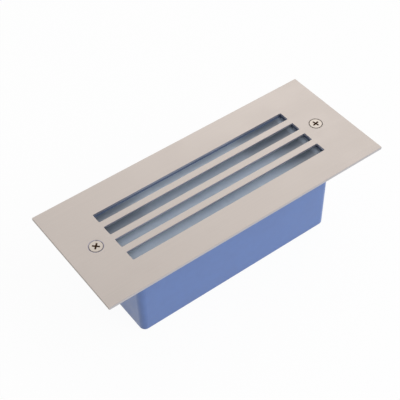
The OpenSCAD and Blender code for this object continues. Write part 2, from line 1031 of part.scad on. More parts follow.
module gland_nut() {
    floor_t = gland_nut_h + gland_nut_gap - gland_neck_h;
    color(black)
        translate([gland_x, 0, gland_nut_z])
            difference() {
                union() {
                    translate([0, 0, gland_dome_h])
                        gland_hex(gland_nut_h - gland_dome_h);
                    cylinder(
                        h = gland_dome_h, d1 = gland_bore_d + 2 * gland_nut_wall, d2 = gland_flats
                    );
                }
                translate([0, 0, floor_t])
                    cylinder(h = gland_nut_h, d = gland_neck_d + 2 * fit_gap);
                translate([0, 0, -cut_over])
                    cylinder(h = gland_nut_h, d = gland_bore_d);
            }
}

module gland_locknut() {
    color(black)
        translate([gland_x, 0, tub_floor_z])
            difference() {
                gland_hex(gland_locknut_h);
                translate([0, 0, -cut_over])
                    cylinder(h = gland_locknut_h + 2 * cut_over, d = gland_thread_d);
            }
}

// Cover: face plate, gasket, cup washers and screws

// Cone that narrows downwards at 45 degrees a side from radius r at the top of the plate
module countersink(r, depth) {
    translate([0, 0, plate_top - depth])
        cylinder(h = depth + cut_over, r1 = r - depth, r2 = r + cut_over);
}

cover_head_h = (cover_head_d - cover_screw_d) / 2;
cup_r = cover_head_d / 2 + cup_rim_w;
cup_h = min(plate_t, cover_head_h) - cup_edge_t;

module face_plate() {
    color(steel)
        difference() {
            translate([0, 0, plate_z])
                rounded_slab(plate_l, plate_w, plate_corner_r, plate_t);
            for (i = [0 : slot_count - 1])
                translate([0, (i - (slot_count - 1) / 2) * slot_pitch, plate_z - cut_over])
                    rounded_slab(slot_l, slot_w, slot_corner_r, plate_t + 2 * cut_over);
            at_both_ends(screw_x) {
                countersink(cup_r + fit_gap, cover_head_h);
                translate([0, 0, plate_z - cut_over])
                    cylinder(h = plate_t, r = cup_r - cover_head_h + fit_gap);
            }
        }
}

module rim_gasket() {
    gasket_margin = 2;
    color(black)
        translate([0, 0, box_h])
            difference() {
                rounded_ring(
                    flange_l, flange_w, flange_r,
                    window_l + gasket_margin, window_w + gasket_margin, window_corner_r, gasket_t
                );
                at_both_ends(screw_x)
                    translate([0, 0, -cut_over])
                        cylinder(h = gasket_t + 2 * cut_over, d = insert_d + 2 * gasket_margin);
            }
}

// Thin cone that lines the countersunk hole, flush with the face of the plate
module cup_washer(side) {
    color(bright)
        translate([side * screw_x, 0, 0])
            difference() {
                translate([0, 0, plate_top - cup_h])
                    cylinder(h = cup_h, r1 = cup_r - cup_h, r2 = cup_r);
                countersink(cover_head_d / 2, cover_head_h);
            }
}

module left_cup_washer() {
    cup_washer(-1);
}

module right_cup_washer() {
    cup_washer(1);
}

// Cover screw, its cross turned as the photograph shows it
module cover_screw(side, turn) {
    color(bright)
        translate([side * screw_x, 0, plate_top])
            rotate([0, 0, turn])
                countersunk_screw(
                    cover_screw_d, cover_screw_l, cover_head_d - 2 * fit_gap,
                    driver_cross_w, driver_cross_arm, driver_cross_depth
                );
}

left_cross_turn = 40;
right_cross_turn = 8;

module left_cover_screw() {
    cover_screw(-1, left_cross_turn);
}

module right_cover_screw() {
    cover_screw(1, right_cross_turn);
}

recess_box();
threaded_inserts();
cable_grommet();
blanking_plug();
lamp_housing();
lens_gasket();
glass_lens();
lens_frame();
frame_screws();
gear_tray();
tray_screws();
thermal_pad();
led_board();
led_chips();
board_connector();
reflector();
board_screws();
led_driver();
driver_screws();
terminal_block();
terminal_sleeves();
terminal_screws();
block_screw();
live_and_neutral_leads();
led_leads();
earth_lead();
earth_tag();
earth_screw();
gland_body();
gland_washer();
gland_seal();
gland_nut();
gland_locknut();
face_plate();
rim_gasket();
left_cup_washer();
right_cup_washer();
left_cover_screw();
right_cover_screw();
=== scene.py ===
# %% [markdown]
# # An in-ground light, dressed round its CAD frame
# The light is a slotted steel face plate over a blue plastic recess box, with a sealed lamp
# unit that hangs in the box. The frame brings every solid in its place, in metres, with the
# origin in the middle of the underside of the box. What shows is rebuilt here as smooth
# surfaces. What lies inside keeps its CAD shape and gets soft edges and a finish.

# %% Load the frame
import math

import bmesh
import bpy
import numpy as np
from mathutils import Matrix, Vector
from mathutils.geometry import tessellate_polygon


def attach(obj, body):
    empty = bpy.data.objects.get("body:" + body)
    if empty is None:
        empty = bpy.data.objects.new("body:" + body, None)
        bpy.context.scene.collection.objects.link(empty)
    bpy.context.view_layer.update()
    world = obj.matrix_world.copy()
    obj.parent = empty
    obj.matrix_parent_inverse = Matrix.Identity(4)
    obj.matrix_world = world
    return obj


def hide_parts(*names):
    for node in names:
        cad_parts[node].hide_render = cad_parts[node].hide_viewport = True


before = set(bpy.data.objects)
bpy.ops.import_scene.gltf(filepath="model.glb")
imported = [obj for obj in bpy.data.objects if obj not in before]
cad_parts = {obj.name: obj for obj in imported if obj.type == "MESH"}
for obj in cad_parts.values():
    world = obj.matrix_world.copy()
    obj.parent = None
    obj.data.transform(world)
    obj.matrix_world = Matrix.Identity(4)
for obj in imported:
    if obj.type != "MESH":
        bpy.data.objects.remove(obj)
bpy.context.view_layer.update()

# %% [markdown]
# ## Rings and lofts
# Nearly every piece of the light is a rectangle with round corners that grows, shrinks and
# steps with its height. Such a piece can be carved from blocks, or it can be lofted: one ring
# of points for each height, with quads from ring to ring. Lofting is chosen because the
# edges can then be rounded exactly, by a few more rings.

# %% Rounded rectangles
MM = 0.001


def rounded_loop(length, width, radius, steps=8, guard=0.15):
    """A rectangle with round corners as an anticlockwise row of (x, y) points.

    Each corner is its centre plus radius times (cos, sin) over a quarter turn. One more point
    lies on each straight, a guard's length from the corner, and keeps the straights flat."""
    quarter = np.linspace(0, math.pi / 2, steps + 1)
    turns = quarter + np.arange(4)[:, None] * math.pi / 2
    signs = np.array([[1, 1], [-1, 1], [-1, -1], [1, -1]])
    centres = signs * (np.array([length, width]) / 2 - radius)
    normals = np.stack([np.cos(turns), np.sin(turns)], axis=-1)
    along = np.stack([-np.sin(turns), np.cos(turns)], axis=-1) * guard
    arcs = centres[:, None] + radius * normals
    before, after = arcs[:, :1] - along[:, :1], arcs[:, -1:] + along[:, -1:]
    return np.concatenate([before, arcs, after], axis=1).reshape(-1, 2)


def rings_of(table):
    """One ring of points for each (length, width, radius, height) row of the table."""
    loops = np.array([rounded_loop(*row[:3]) for row in table])
    heights = np.broadcast_to(np.array(table, float)[:, 3, None, None], (*loops.shape[:2], 1))
    return np.concatenate([loops, heights], axis=-1)


def bend(row, radius, first, last, steps=4):
    """Rows that round one edge: the row grown by r cos a and raised by r sin a.

    The angle a runs from first to last, in degrees, about the point from which both faces
    of the edge lie a radius away."""
    a = np.radians(np.linspace(first, last, steps + 1))
    ends = np.radians([first, last])
    out = radius * (np.cos(a) - np.cos(ends).sum())
    up = radius * (np.sin(a) - np.sin(ends).sum())
    return (np.array(row, float) + np.stack([2 * out, 2 * out, out, up], axis=-1)).tolist()


print("a plate corner has", len(rounded_loop(240, 98, 0.6)) // 4, "points")

# %% [markdown]
# The other pieces are turned: screws, washers, rubber plugs and threaded inserts. Their
# rings are circles, and a helical thread is the same grid with a radius that depends on the
# angle as well as on the height.

# %% Turned surfaces and lofts
def turned(profile, steps=64):
    """A profile of (radius, height) pairs spun about Z: x = r cos t, y = r sin t."""
    t = np.linspace(0, 2 * math.pi, steps, endpoint=False)
    r, z = np.array(profile, float).T
    flat = np.stack([np.cos(t), np.sin(t)], axis=-1)
    heights = np.broadcast_to(z[:, None, None], (len(z), steps, 1))
    return np.concatenate([r[:, None, None] * flat, heights], axis=-1)


def loft(rings, ends="caps"):
    """Quads from ring to ring, with flat caps, left open, or with the last joined to the first."""
    rings = np.asarray(rings, float)
    index = np.arange(rings.shape[0] * rings.shape[1]).reshape(rings.shape[:2])
    low = index if ends == "join" else index[:-1]
    high = np.roll(index, -1, axis=0) if ends == "join" else index[1:]
    quads = np.stack([low, np.roll(low, -1, 1), np.roll(high, -1, 1), high], axis=-1)
    faces = [quads.reshape(-1, 4)]
    if ends == "caps":
        faces += [index[:1, ::-1], index[-1:]]
    return rings.reshape(-1, 3), faces


def moved(part, matrix):
    """The part's points after a 4 by 4 matrix, its faces as they were."""
    points, faces = part
    m = np.array(matrix, float)
    return points @ m[:3, :3].T + m[:3, 3], faces


def at(part, x, y=0):
    """The part moved sideways by x and y."""
    return moved(part, Matrix.Translation((x, y, 0)))


print("a pin has", len(loft(turned([(2, 0), (2, 9)]))[0]), "points")

# %% [markdown]
# ## From points to pieces
# A piece becomes one mesh object at the origin, with its place in its mesh, as the CAD nodes
# have. Holes that cross a wall are carved with a Boolean, which is exact on closed meshes.
# Weighted normals then keep the large faces flat beside their small rounded edges. Where only
# some faces look different, such as a cut edge, they get a second finish by a test on their
# centres, which needs no extra mesh.

# %% Solids, carving and dressing
MERGE = 1e-6


def placed(name, data):
    """A new object for a mesh, a camera or a lamp, linked into the scene."""
    made = bpy.data.objects.new(name, data)
    bpy.context.scene.collection.objects.link(made)
    return made


def solid(name, parts):
    """Parts of (points in millimetres, face arrays) as one closed mesh object."""
    points, faces, start = [], [], 0
    for part_points, part_faces in parts:
        points.append(part_points)
        faces += [f for group in part_faces for f in (np.asarray(group) + start).tolist()]
        start += len(part_points)
    mesh = bpy.data.meshes.new(name)
    mesh.from_pydata((np.concatenate(points) * MM).tolist(), [], faces)
    work = bmesh.new()
    work.from_mesh(mesh)
    bmesh.ops.remove_doubles(work, verts=work.verts, dist=MERGE)
    work.to_mesh(mesh)
    work.free()
    return placed(name, mesh)


def carve(body, parts, operation="DIFFERENCE"):
    """Takes the parts away from a solid, or adds them to it, and deletes the cutter."""
    cutter = solid("cutter", parts)
    step = body.modifiers.new("carve", "BOOLEAN")
    step.operation, step.solver, step.object = operation, "EXACT", cutter
    evaluated = body.evaluated_get(bpy.context.evaluated_depsgraph_get())
    mesh = bpy.data.meshes.new_from_object(evaluated)
    body.modifiers.clear()
    body.data = mesh
    bpy.data.objects.remove(cutter)
    return body


def dress(made, body, material, nodes=(), sharp=35):
    """Smooths a solid except at its sharp edges, gives it a finish and a body, and hides the CAD
    nodes that it stands for.
    """
    made.data.shade_smooth()
    made.data.set_sharp_from_angle(angle=math.radians(sharp))
    steady = made.modifiers.new("steady faces", "WEIGHTED_NORMAL")
    steady.keep_sharp = True
    made.data.materials.clear()
    made.data.materials.append(material)
    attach(made, body)
    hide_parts(*nodes)
    print(made.name, "has", len(made.data.polygons), "faces")
    return made


def tint(made, material, chosen):
    """Gives a second material to the faces that a test on their centres in millimetres picks."""
    faces = made.data.polygons
    centres, index = np.empty(3 * len(faces)), np.empty(len(faces), dtype=np.int32)
    faces.foreach_get("center", centres)
    faces.foreach_get("material_index", index)
    made.data.materials.append(material)
    last = len(made.data.materials) - 1
    index[chosen(*(centres.reshape(-1, 3).T / MM))] = last
    faces.foreach_set("material_index", index)
    print(made.name, "has", int((index == last).sum()), "faces in", material.name)


# %% [markdown]
# ## Finishes
# A finish here is a Principled shader whose colour, roughness and bump come from noise in
# object coordinates, so it stays on the piece when the piece moves. The noise is stretched
# for a brushed sheet and even for a casting or a moulding. A picture of the surface could do
# the same, but noise has no seams and any size. Numbers that are the same all over the
# surface are set on the shader itself.

# %% Small helpers for node trees
def linear(red, green, blue):
    """A colour given as 0 to 255 screen values, as the linear values that a shader takes."""
    c = np.array([red, green, blue]) / 255
    low, high = c / 12.92, ((c + 0.055) / 1.055) ** 2.4
    return (*np.where(c <= 0.04045, low, high).tolist(), 1.0)


def remap(tree, value, *numbers):
    """A value moved from one range to another: from low, from high, to low, to high."""
    span = tree.nodes.new("ShaderNodeMapRange")
    for socket, number in zip(("From Min", "From Max", "To Min", "To Max"), numbers):
        span.inputs[socket].default_value = number
    tree.links.new(value, span.inputs["Value"])
    return span.outputs["Result"]


def joined(tree, operation, first, second):
    """Two sockets put together by one sum, product or other calculation."""
    step = tree.nodes.new("ShaderNodeMath")
    step.operation = operation
    tree.links.new(first, step.inputs[0])
    tree.links.new(second, step.inputs[1])
    return step.outputs["Value"]


def mixed(tree, share, first, second):
    """The first colour where the share is 0 and the second where it is 1."""
    mix = tree.nodes.new("ShaderNodeMix")
    mix.data_type = "RGBA"
    tree.links.new(share, mix.inputs["Factor"])
    for socket, colour in (("A", first), ("B", second)):
        if isinstance(colour, tuple):
            mix.inputs[socket].default_value = colour
        else:
            tree.links.new(colour, mix.inputs[socket])
    return mix.outputs["Result"]


print("mid grey, 128 of 255, is", round(linear(128, 128, 128)[0], 3), "to a shader")

# %% [markdown]
# One function makes every finish: fine noise for the grain and broad noise for slow changes
# are added, and their sum drives both the colour and the roughness, as wear does on a real
# surface. The grain is also a bump of a few micrometres.

# %% A finish from noise
def noise(tree, cells, detail=3.0):
    """Noise in object coordinates with that many cells a metre along x, y and z."""
    place = tree.nodes.new("ShaderNodeTexCoord")
    stretch = tree.nodes.new("ShaderNodeMapping")
    stretch.inputs["Scale"].default_value = cells
    texture = tree.nodes.new("ShaderNodeTexNoise")
    texture.inputs["Scale"].default_value = 1.0
    texture.inputs["Detail"].default_value = detail
    tree.links.new(place.outputs["Object"], stretch.inputs["Vector"])
    tree.links.new(stretch.outputs["Vector"], texture.inputs["Vector"])
    return texture.outputs["Fac"]


def spread(tree, value, low, high):
    """The middle of a noise, 0.3 to 0.7, spread over the range from low to high."""
    return remap(tree, value, 0.3, 0.7, low, high)


def finish(name, dark, light, rough, cells, bump, fine=None, **constants):
    """Colour between dark and light, roughness between two values, and a bump in millimetres."""
    material = bpy.data.materials.new(name)
    material.use_nodes = True
    tree = material.node_tree
    shader = tree.nodes["Principled BSDF"]
    grain = noise(tree, cells)
    broad = noise(tree, (31, 37, 41), detail=2.0)
    both = joined(tree, "ADD", spread(tree, grain, 0.0, 0.5), spread(tree, broad, 0.0, 0.5))
    colour = mixed(tree, both, linear(*dark), linear(*light))
    tree.links.new(colour, shader.inputs["Base Color"])
    tree.links.new(spread(tree, both, *rough), shader.inputs["Roughness"])
    relief = tree.nodes.new("ShaderNodeBump")
    relief.inputs["Distance"].default_value = bump * MM
    tree.links.new(noise(tree, fine) if fine else grain, relief.inputs["Height"])
    tree.links.new(relief.outputs["Normal"], shader.inputs["Normal"])
    for socket, number in constants.items():
        shader.inputs[socket.replace("_", " ")].default_value = number
    return material


frame_materials = len(bpy.data.materials)
print("materials that came with the frame:", frame_materials)

# %% [markdown]
# The metals: the face plate is sheet steel with a grain along its length, warm in colour. Its long
# edges carry painted light and its ends painted shade, and the walls of its slots are duller, with
# a painted bluish reflection. The screws and the ring round the left one are bright. The inserts
# and terminals are brass, the housing is a grey casting, and the gear tray is rolled aluminium.

# %% Metals
brushed_steel = finish(
    "brushed_steel", (202, 192, 185), (212, 202, 195), (0.36, 0.46), (9, 1500, 1500), 0.004,
    Metallic=1.0,
)
# Painted light on the long edges: a bluish copy of the plate's steel, lighter than the ends.
lit_edge_steel = finish(
    "lit_edge_steel", (181, 178, 181), (197, 194, 197), (0.3, 0.4), (40, 40, 2600), 0.003,
    Metallic=1.0,
)
# Painted shade on the ends: a darker copy of the plate's steel.
shaded_end_steel = finish(
    "shaded_end_steel", (146, 137, 131), (158, 149, 142), (0.34, 0.46), (40, 40, 2600), 0.003,
    Metallic=1.0,
)
# Painted bluish reflection for the walls of the slots.
slot_reflection_steel = finish(
    "slot_reflection_steel", (190, 191, 204), (206, 207, 219), (0.46, 0.6), (60, 60, 2200), 0.003,
    Metallic=1.0,
)
screw_steel = finish(
    "screw_steel", (206, 195, 184), (218, 208, 198), (0.28, 0.38), (700, 700, 700), 0.003,
    Metallic=1.0,
)
polished_steel = finish(
    "polished_steel", (162, 158, 170), (184, 180, 192), (0.08, 0.16), (300, 300, 300), 0.001,
    Metallic=1.0,
)
zinc_plate = finish(
    "zinc_plate", (176, 180, 184), (204, 207, 210), (0.28, 0.42), (500, 500, 500), 0.004,
    Metallic=1.0,
)
brass = finish(
    "brass", (176, 140, 74), (208, 172, 100), (0.25, 0.4), (600, 600, 300), 0.004, Metallic=1.0
)
cast_aluminium = finish(
    "cast_aluminium", (138, 141, 145), (164, 167, 171), (0.48, 0.66), (900, 900, 900), 0.05,
    Metallic=0.9,
)
tray_aluminium = finish(
    "tray_aluminium", (178, 181, 184), (202, 205, 208), (0.3, 0.44), (12, 1100, 1100), 0.005,
    Metallic=1.0,
)
print("metals made:", len(bpy.data.materials) - frame_materials)

# %% [markdown]
# The plastics and rubbers: the recess box is a smooth blue moulding with a faint texture
# from its mould. Rubber is darker and duller, and the white parts inside are half glossy.
# Painted shade for the screw recesses and for the grooves round the heads is a finish like the
# others, for single faces.

# %% Plastics, rubber and paint
blue_plastic = finish(
    "blue_plastic", (91, 121, 182), (98, 129, 190), (0.28, 0.36), (160, 160, 160), 0.01,
    fine=(1600, 1600, 1600),
)
black_rubber = finish(
    "black_rubber", (30, 31, 34), (44, 45, 48), (0.55, 0.75), (800, 800, 800), 0.02
)
slate_paint = finish(
    "slate_paint", (92, 108, 138), (104, 120, 150), (0.38, 0.5), (600, 600, 600), 0.02
)
black_plastic = finish(
    "black_plastic", (34, 35, 37), (50, 51, 54), (0.38, 0.5), (500, 500, 500), 0.012
)
white_plastic = finish(
    "white_plastic", (222, 221, 216), (234, 233, 229), (0.35, 0.48), (300, 300, 300), 0.008
)
board_white = finish(
    "board_white", (224, 227, 226), (238, 240, 238), (0.3, 0.42), (900, 900, 900), 0.006
)
led_phosphor = finish(
    "led_phosphor", (226, 196, 84), (242, 216, 112), (0.3, 0.45), (1200, 1200, 1200), 0.01
)
pad_silicone = finish(
    "pad_silicone", (112, 126, 148), (132, 146, 168), (0.6, 0.8), (700, 700, 700), 0.02
)
# Painted shade, brownish, for the screws' cross recesses.
recess_shade = finish(
    "recess_shade", (86, 58, 36), (112, 80, 54), (0.6, 0.85), (900, 900, 900), 0.01,
    Specular_IOR_Level=0.2,
)
# Painted shade for the groove between each cup and its screw head.
groove_shade = finish(
    "groove_shade", (84, 74, 70), (112, 98, 92), (0.5, 0.75), (900, 900, 900), 0.01,
    Specular_IOR_Level=0.3,
)
lead_brown = finish("lead_brown", (92, 54, 34), (112, 68, 44), (0.4, 0.5), (400, 400, 400), 0.01)
lead_blue = finish("lead_blue", (38, 76, 148), (54, 96, 172), (0.4, 0.5), (400, 400, 400), 0.01)
lead_red = finish("lead_red", (158, 36, 34), (182, 50, 46), (0.4, 0.5), (400, 400, 400), 0.01)
lead_green = finish("lead_green", (44, 120, 58), (62, 142, 76), (0.4, 0.5), (400, 400, 400), 0.01)
print("metals, plastics and the rest:", len(bpy.data.materials) - frame_materials)

# %% [markdown]
# ## Recess box
# The box is moulded in one piece: a lower body that leans out a little, a collar, and a wide
# flange. One loft follows its outside from the underside up, over the flange, down the
# collar and the cavity to the floor. The bosses, the entries and the holes are carved.

# %% Recess box
BOX = (172.6, 61.6, 4.6)
WALL, LEAN = 3, 0.9
COLLAR_LOW, FLANGE_LOW, BOX_TOP = 62, 70.5, 73.5
FLANGE = (220, 84, 8)
COLLAR = (186, 73, 7.5)
COLLAR_INSIDE = (182, 69, 5.5)
CAVITY = (166.6, 55.6, 1.6)
SCREW_X = 98.5


def leaning(base, height, foot, top, z):
    """The base rectangle at height z of a wall that leans out a little between foot and top."""
    out = LEAN * (z - foot) / (top - foot)
    return (base[0] + 2 * out, base[1] + 2 * out, base[2] + out, height + z)


outside = [
    *bend((*BOX, 0), 2, -90, 0, steps=6),
    leaning(BOX, 0, 2, BOX_TOP, 30),
    *bend(leaning(BOX, 0, 2, BOX_TOP, COLLAR_LOW), 0.4, 180, 90),
    *bend((*COLLAR, COLLAR_LOW), 0.5, -90, 0),
    *bend((*COLLAR, FLANGE_LOW), 0.4, 180, 90),
    *bend((*FLANGE, FLANGE_LOW), 0.5, -90, 0),
    *bend((*FLANGE, BOX_TOP), 0.5, 0, 90),
]
inside = [
    *bend((*COLLAR_INSIDE, BOX_TOP), 0.4, 90, 180),
    *bend((*COLLAR_INSIDE, 64), 0.3, 0, -90),
    *bend(leaning(CAVITY, WALL, 1, BOX_TOP - WALL, 61), 0.3, 90, 180),
    *bend((*CAVITY, WALL), 0.96, 0, -90),
]
recess_box = solid("recess_box_shell", [loft(rings_of(outside + inside))])
boss = [(6.1, 56.1), (6.5, 56.5), (6.5, 71.5)]
carve(recess_box, [at(loft(turned(boss)), s * SCREW_X) for s in (-1, 1)], "UNION")
print("box loft:", len(outside) + len(inside), "rings")

# %% [markdown]
# The flange takes a brass insert over each boss, the floor has two fixing holes, and two
# round entries let the supply cable in, through the right end or through the back. A loft
# has no room for them in its rings, so they are all carved at once.

# %% Holes of the box
ENTRY_Z, FIXING_X = 18, 60
insert_hole = [(2.7, 59.1), (2.7, 63.5), (3.5, 63.5), (3.5, 72.9), (4.1, 73.6)]
fixing_hole = [(2.75, -1), (2.75, 4)]
entry_hole = [(10, -5), (10, 0), (13, 0), (13, 3)]
to_right = Matrix.Translation((BOX[0] / 2, 0, ENTRY_Z)) @ Matrix.Rotation(math.pi / 2, 4, "Y")
to_back = Matrix.Translation((0, BOX[1] / 2, ENTRY_Z)) @ Matrix.Rotation(-math.pi / 2, 4, "X")
cuts = [moved(loft(turned(entry_hole)), m) for m in (to_right, to_back)]
for side in (-1, 1):
    cuts.append(at(loft(turned(insert_hole)), side * SCREW_X))
    cuts.append(at(loft(turned(fixing_hole)), side * FIXING_X))
carve(recess_box, cuts)
dress(recess_box, "recess_box", blue_plastic, ["recess_box"])

# %% [markdown]
# ## Inserts, grommet and plug
# The inserts are short brass tubes. The grommet and the blanking plug are rubber rings with
# two lips that grip the wall. They could be stacked from cylinders with bevelled edges. A
# profile is chosen, turned and then laid on its axis, because one short list of points then
# holds every lip and every rounding.

# %% Inserts, grommet and plug
insert = [
    (3.2, 63.5), (3.5, 63.8), (3.5, 65.6), (3.3, 65.8), (3.3, 66.6), (3.5, 66.8), (3.5, 73.2),
    (3.2, 73.5), (2.85, 73.5), (2.55, 73.2), (2.55, 63.8), (2.85, 63.5),
]
inserts = solid("inserts", [at(loft(turned(insert), "join"), s * SCREW_X) for s in (-1, 1)])
dress(inserts, "recess_box", brass, ["threaded_inserts"])


def lip(radius, low, high, soft=0.5):
    """Profile of a rubber lip's rim between two heights, rounded at both edges."""
    a = np.radians(np.linspace(-90, 90, 7))
    r = radius - soft + soft * np.cos(a)
    z = np.where(a < 0, low + soft, high - soft) + soft * np.sin(a)
    return np.column_stack([r, z]).tolist()


lips = [*lip(12.5, -4.5, -3), (10, -3), (10, 0), *lip(12.5, 0, 1.5)]
grommet = lips + [(4.6, 1.5), (4.15, 1.2), (4, 0.7), (4, -3.7), (4.15, -4.2), (4.6, -4.5)]
plug = lips + [(7.3, 1.5), (7, 1.2), (7, 0.6), (6.7, 0.3), (0.5, 0.3)]
cable_grommet = solid("grommet", [moved(loft(turned(grommet), "join"), to_right)])
dress(cable_grommet, "recess_box", black_rubber, ["cable_grommet"])
blanking_plug = solid("entry_plug", [moved(loft(turned(plug)), to_back)])
dress(blanking_plug, "recess_box", black_rubber, ["blanking_plug"])

# %% [markdown]
# ## Face plate
# The plate is a 2 mm sheet with four long slots and a countersunk hole at each end. Its top
# and bottom are flat faces with holes, and each outline carries its own small rounded edge
# from one face to the other, so nothing needs to be carved.

# %% Sheets with holes
SLIVER = 1e-9


def sheet_face(outlines, up):
    """A flat face inside the first outline and outside the others, as triangles.

    Triangles with hardly any area are left out."""
    points = np.concatenate(outlines)
    triangles = np.array(tessellate_polygon([[Vector(p) for p in o] for o in outlines]))
    a, b, c = (points[triangles[:, i]] for i in range(3))
    turn = (b[:, 0] - a[:, 0]) * (c[:, 1] - a[:, 1]) - (b[:, 1] - a[:, 1]) * (c[:, 0] - a[:, 0])
    wrong = (turn > 0) != up
    triangles[wrong] = triangles[wrong][:, ::-1]
    return points, [triangles[np.abs(turn) > SLIVER]]


def sheet(walls):
    """A sheet from its walls: first the outer one, whose rings climb, then the holes' walls."""
    tops = [w[-1] if i == 0 else w[0] for i, w in enumerate(walls)]
    bottoms = [w[0] if i == 0 else w[-1] for i, w in enumerate(walls)]
    sides = [loft(w, "open") for w in walls]
    return [sheet_face(tops, True), sheet_face(bottoms, False), *sides]


def shifted(rings, x, y):
    """Rings moved sideways."""
    return rings + np.array([x, y, 0.0])


tile = rings_of([(10, 10, 1, 0)])[0]
print("the face of a square tile has", len(sheet_face([tile], True)[1][0]), "triangles")

# %% [markdown]
# The plate's own walls follow: one outline, four slots and two countersinks. Its grain is seen on
# the face alone, so its edges and the slots' walls get their own finishes, with painted light on
# the long edges, painted shade on the ends and a painted bluish reflection in the slots.

# %% Face plate
PLATE = (240, 98, 0.6)
PLATE_LOW, PLATE_TOP = 74.5, 76.5
SLOT = (170, 8.5, 0.5)
SLOT_Y = (-21, -7, 7, 21)
edge = rings_of(
    bend((*PLATE, PLATE_LOW), 0.2, -90, 0) + bend((*PLATE, PLATE_TOP), 0.3, 0, 90)
)
slot_wall = rings_of(
    bend((*SLOT, PLATE_TOP), 0.2, 90, 180) + bend((*SLOT, PLATE_LOW), 0.12, 180, 270)
)
sink_wall = turned([(5.72, PLATE_TOP), (5.6, 76.44), (3.72, 74.56), (3.78, PLATE_LOW)])
plate_walls = [edge, *(shifted(slot_wall, 0, y) for y in SLOT_Y)]
plate_walls += [shifted(sink_wall, s * SCREW_X, 0) for s in (-1, 1)]
face_plate = solid("slotted_plate", sheet(plate_walls))
dress(face_plate, "cover", brushed_steel, ["face_plate"])
SKIN = 0.1
half_length, half_width = PLATE[0] / 2 - SKIN, PLATE[1] / 2 - SKIN
slots_x, slots_y = SLOT[0] / 2 + 1, SLOT_Y[-1] + SLOT[1] / 2 + 1


def on_wall(z):
    """True between the rounded edges of the plate's top and underside."""
    return (z > PLATE_LOW + SKIN) & (z < PLATE_TOP - SKIN)


# Painted light on the long edges and painted shade on the ends.
tint(face_plate, lit_edge_steel, lambda x, y, z: (abs(y) > half_width) & (z < PLATE_TOP - SKIN))
tint(face_plate, shaded_end_steel, lambda x, y, z: (abs(x) > half_length) & (z < PLATE_TOP - SKIN))
# Painted bluish reflection on the slots' walls.
tint(
    face_plate, slot_reflection_steel,
    lambda x, y, z: (abs(x) < slots_x) & (abs(y) < slots_y) & on_wall(z),
)

# %% [markdown]
# ## Rim gasket
# A flat rubber frame lies between the plate and the flange, with a hole round each insert. It
# is a sheet with holes as the plate is, so the same function makes it.

# %% Rim gasket
GASKET_WINDOW = (173, 54, 2)
gasket_out = rings_of(
    bend((*FLANGE, BOX_TOP), 0.15, -90, 0) + bend((*FLANGE, PLATE_LOW), 0.15, 0, 90)
)
gasket_in = rings_of([(*GASKET_WINDOW, PLATE_LOW), (*GASKET_WINDOW, BOX_TOP)])
gasket_hole = turned([(5.5, PLATE_LOW), (5.5, BOX_TOP)])
gasket_walls = [gasket_out, gasket_in]
gasket_walls += [shifted(gasket_hole, s * SCREW_X, 0) for s in (-1, 1)]
rim_gasket = solid("flat_gasket", sheet(gasket_walls))
dress(rim_gasket, "cover", black_rubber, ["rim_gasket"])

# %% [markdown]
# ## Cup washers and cover screws
# Each cover screw sits in a thin bright cup, a turned cone with a rolled upper edge. The groove
# between cup and head is darkened with painted shade, on the left only in places. Noise could
# spread it at random, but this shade follows the groove, so the faces there get their own finish.

# %% Cup washers
cup_profile = [
    (3.13, 74.62), (3.66, 74.62), (5.45, 76.33), (5.58, 76.41), (5.58, 76.47), (5.5, 76.5),
    (5.4, 76.5), (5.27, 76.47), (5.17, 76.4), (5.1, 76.3), (4.92, 76.12),
]
# Arcs of painted shade in the groove round the left screw, in degrees.
SHADED_ARCS = ((-50, 18), (45, 63), (140, 195))


def from_screw(x, y, side):
    """Distance in millimetres from the axis of the left (-1) or right (1) cover screw."""
    return np.hypot(x - side * SCREW_X, y)


def in_shaded_groove(x, y, side):
    """Where the groove gets painted shade: all round on the right, in arcs of degrees on the left.
    """
    start = SHADED_ARCS[0][0]
    angle = np.mod(np.degrees(np.arctan2(y, x - side * SCREW_X)) - start, 360) + start
    arcs = [(angle > first) & (angle < last) for first, last in SHADED_ARCS]
    return np.any(arcs, axis=0) | (side > 0)


CUPS = ((-1, "left", polished_steel, 5.2), (1, "right", brushed_steel, 5.3))
for side, name, metal, throat in CUPS:
    cup = solid(name + "_cup", [at(loft(turned(cup_profile), "join"), side * SCREW_X)])
    dress(cup, name + "_cup_washer", metal, [name + "_cup_washer"], sharp=50)
    # Painted shade in the cup's groove.
    tint(
        cup, groove_shade,
        lambda x, y, z: (from_screw(x, y, side) < throat) & in_shaded_groove(x, y, side),
    )

# %% [markdown]
# A screw is one turned grid: along the shank its radius follows a triangle wave that climbs
# one pitch a turn, which is the thread. A helical sweep would do it too, but would leave an
# open end to close. The cross recess is carved from above by two crossed wedges.

# %% Threads and cross recesses
def threaded(radius, depth, pitch, start, end, steps=32, rows=6):
    """Rows of a thread from start up to end, as radii over height z and angle t.

    r = radius - depth * |2 frac(z / pitch - t / 2 pi) - 1|. The thread fades out over one
    pitch at both ends, so that it closes with plain circles."""
    z = np.arange(start, end, pitch / rows)
    t = np.linspace(0, 2 * math.pi, steps, endpoint=False)
    wave = np.abs(2 * np.mod(z[:, None] / pitch - t / (2 * math.pi), 1) - 1)
    fade = np.clip(np.minimum(z - start, end - z) / pitch, 0, 1)[:, None]
    r = radius - depth * (1 - (1 - wave) * fade)
    heights = np.broadcast_to(z[:, None], r.shape)
    return np.stack([r * np.cos(t), r * np.sin(t), heights], axis=-1)


def cross_cutters(across, arm, depth, top):
    """Two crossed wedges that narrow downwards, for a cross recess below the height top."""
    parts = []
    for turn in (0, 90):
        low = rings_of([(across * 0.45, arm * 0.75, arm * 0.2, -depth)])
        high = rings_of([(across * 1.06, arm * 1.05, arm * 0.2, 0.1 * depth)])
        wedge = loft(np.concatenate([low, high]))
        spot = Matrix.Translation((0, 0, top)) @ Matrix.Rotation(math.radians(turn), 4, "Z")
        parts.append(moved(wedge, spot))
    return parts


